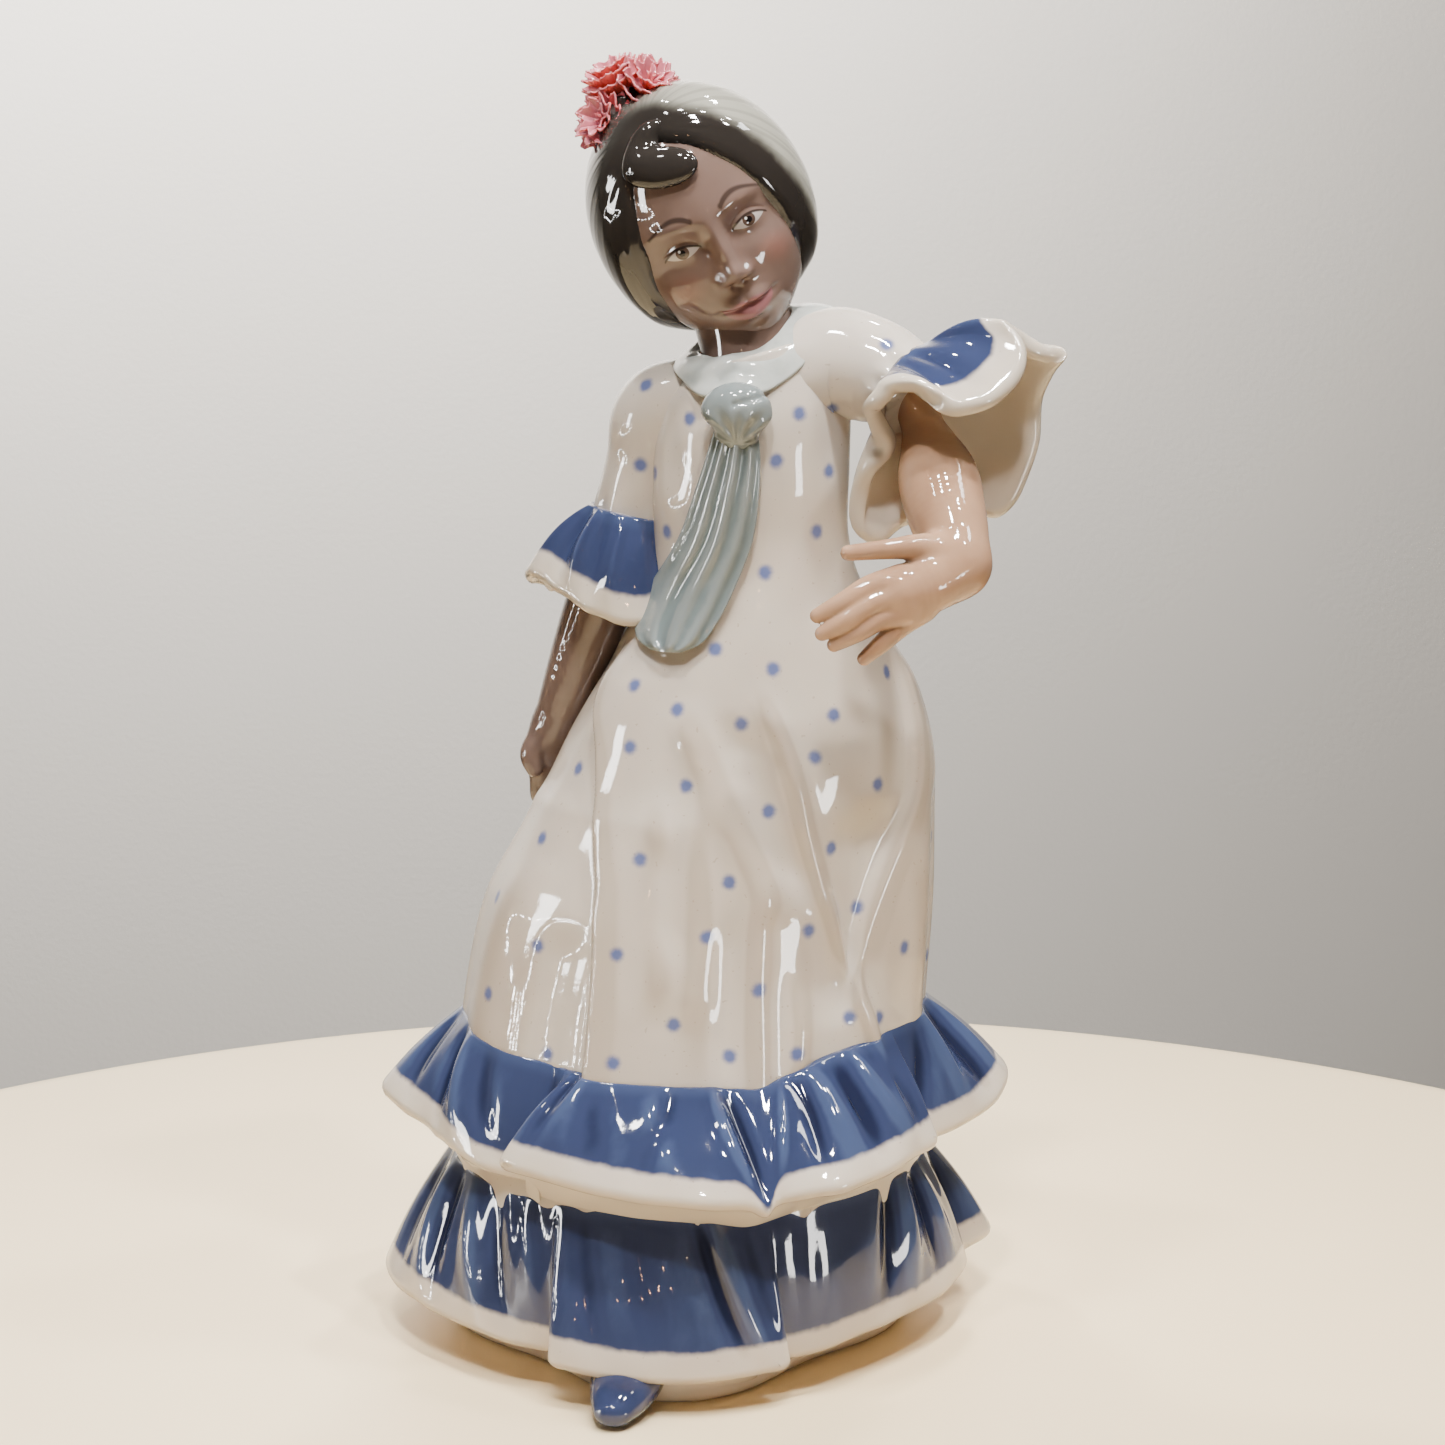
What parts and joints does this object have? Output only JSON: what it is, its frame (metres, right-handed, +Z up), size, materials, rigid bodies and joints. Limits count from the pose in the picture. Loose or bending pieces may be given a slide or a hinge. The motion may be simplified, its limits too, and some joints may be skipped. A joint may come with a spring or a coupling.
{
  "type": "souvenir figurine",
  "caption": "Free-standing glazed porcelain figurine of a dancer in a flounced, dotted dress with a scarf and flowers in the hair.",
  "frame": {"origin": "on the table under the foot ring, near the centre of the base", "axes": "+Z up along the height; the dancer faces -Y and the raised arm is toward +X"},
  "size_m": [0.1068, 0.1002, 0.2003],
  "materials": {
    "white_glaze": "Cream white porcelain under clear gloss glaze, with soft blue polka dots painted on the skirt and bodice",
    "blue_glaze": "Streaky underglaze blue band, darker in the folds, with a rolled cream lip",
    "celadon_glaze": "Grey green underglaze wash under clear gloss, darker in the pleats",
    "skin_glaze": "Warm brown underglaze wash under clear gloss, with painted brows, eyes and lips",
    "hair_glaze": "Dark grey brown underglaze under clear gloss",
    "petal_paste": "Thin unglazed looking porcelain paste, coral inside and mauve pink at the edges"
  },
  "bodies": {
    "root": {"base_shell": "white_glaze", "bodice_shell": "white_glaze", "flower_slip_pad": "petal_paste", "fringe_curl": "hair_glaze", "front_carnation_core": "petal_paste", "front_carnation_inner_petal_1": "petal_paste", "front_carnation_inner_petal_2": "petal_paste", "front_carnation_inner_petal_3": "petal_paste", "front_carnation_outer_petal_1": "petal_paste", "front_carnation_outer_petal_2": "petal_paste", "front_carnation_outer_petal_3": "petal_paste", "front_carnation_outer_petal_4": "petal_paste", "hair_shell": "hair_glaze", "head_shell": "skin_glaze", "left_cuff_flounce": "blue_glaze", "left_forearm_and_hand": "skin_glaze", "left_sleeve": "white_glaze", "lower_flounce": "blue_glaze", "nape_bun": "hair_glaze", "right_cuff_flounce": "blue_glaze", "right_forearm_and_hand": "skin_glaze", "right_sleeve": "white_glaze", "scarf_collar": "celadon_glaze", "scarf_knot": "celadon_glaze", "scarf_tail": "celadon_glaze", "shoe_toe": "blue_glaze", "side_carnation_core": "petal_paste", "side_carnation_inner_petal_1": "petal_paste", "side_carnation_inner_petal_2": "petal_paste", "side_carnation_inner_petal_3": "petal_paste", "side_carnation_outer_petal_1": "petal_paste", "side_carnation_outer_petal_2": "petal_paste", "side_carnation_outer_petal_3": "petal_paste", "side_carnation_outer_petal_4": "petal_paste", "skirt_shell": "white_glaze", "top_carnation_core": "petal_paste", "top_carnation_inner_petal_1": "petal_paste", "top_carnation_inner_petal_2": "petal_paste", "top_carnation_inner_petal_3": "petal_paste", "top_carnation_outer_petal_1": "petal_paste", "top_carnation_outer_petal_2": "petal_paste", "top_carnation_outer_petal_3": "petal_paste", "top_carnation_outer_petal_4": "petal_paste", "upper_flounce": "blue_glaze"}
  },
  "joints": []
}
